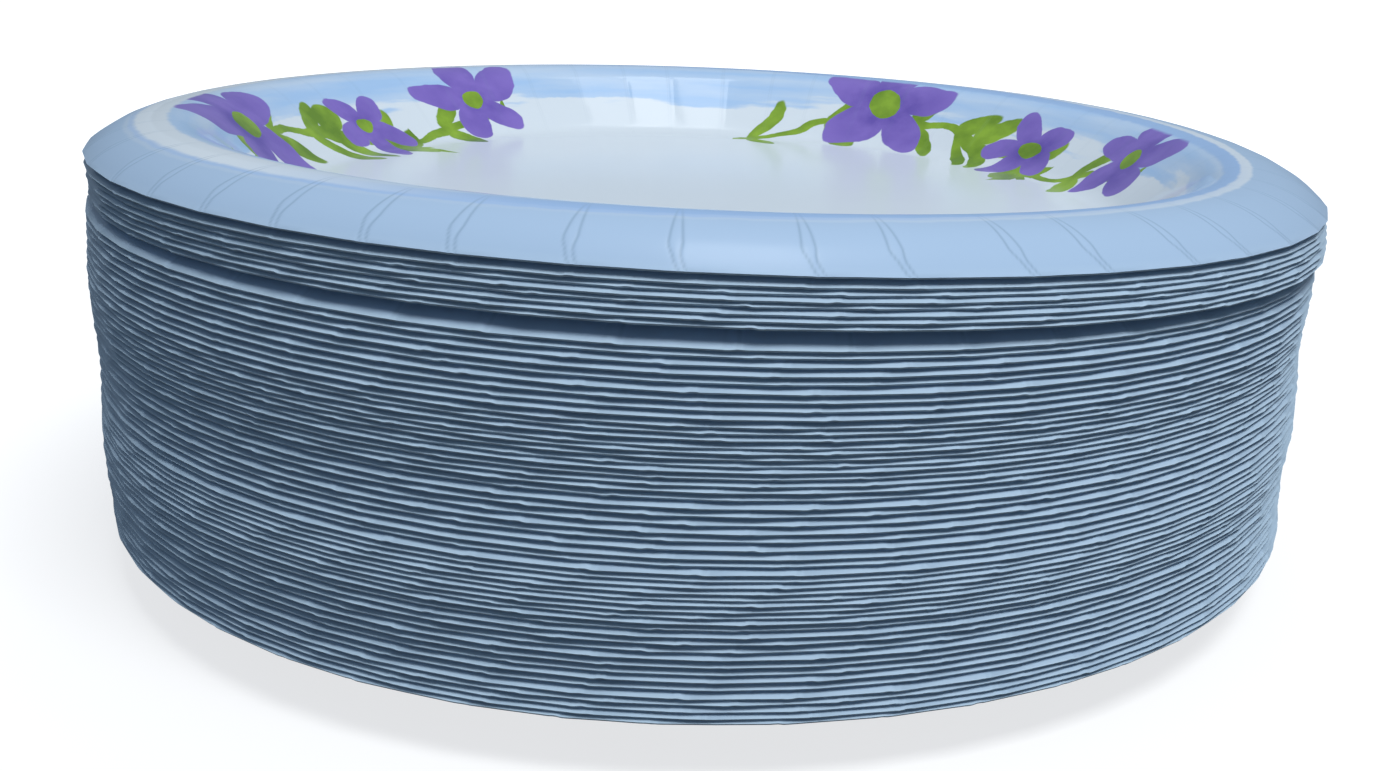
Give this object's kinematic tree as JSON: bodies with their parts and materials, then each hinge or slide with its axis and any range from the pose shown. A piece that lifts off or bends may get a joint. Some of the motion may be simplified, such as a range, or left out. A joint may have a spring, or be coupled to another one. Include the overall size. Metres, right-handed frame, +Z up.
{
  "type": "stack of paper plates",
  "caption": "Tall nested stack of round pressed paper plates with crimped blue rims and a plain violet flower print in the topmost dish.",
  "frame": {"origin": "centre of the lowest plate's flat floor, on its underside, where the stack stands", "axes": "+Z up along the stack, +X to the right and -Y to the front as the picture shows it"},
  "size_m": [0.2579, 0.2566, 0.0907],
  "materials": {
    "board": "pressed paperboard with a glossy printed coating on its upper face"
  },
  "bodies": {
    "root": {"plate_01": "board", "plate_02": "board", "plate_03": "board", "plate_04": "board", "plate_05": "board", "plate_06": "board", "plate_07": "board", "plate_08": "board", "plate_09": "board", "plate_10": "board", "plate_11": "board", "plate_12": "board", "plate_13": "board", "plate_14": "board", "plate_15": "board", "plate_16": "board", "plate_17": "board", "plate_18": "board", "plate_19": "board", "plate_20": "board", "plate_21": "board", "plate_22": "board", "plate_23": "board", "plate_24": "board", "plate_25": "board", "plate_26": "board", "plate_27": "board", "plate_28": "board", "plate_29": "board", "plate_30": "board", "plate_31": "board", "plate_32": "board", "plate_33": "board", "plate_34": "board", "plate_35": "board", "plate_36": "board", "plate_37": "board", "plate_38": "board", "plate_39": "board", "plate_40": "board", "plate_41": "board", "plate_42": "board", "plate_43": "board", "plate_44": "board", "plate_45": "board", "plate_46": "board", "plate_47": "board", "plate_48": "board", "plate_49": "board", "plate_50": "board", "plate_51": "board", "plate_52": "board", "plate_53": "board", "plate_54": "board", "plate_55": "board", "plate_56": "board", "plate_57": "board", "plate_58": "board", "plate_59": "board", "plate_60": "board"}
  },
  "joints": []
}
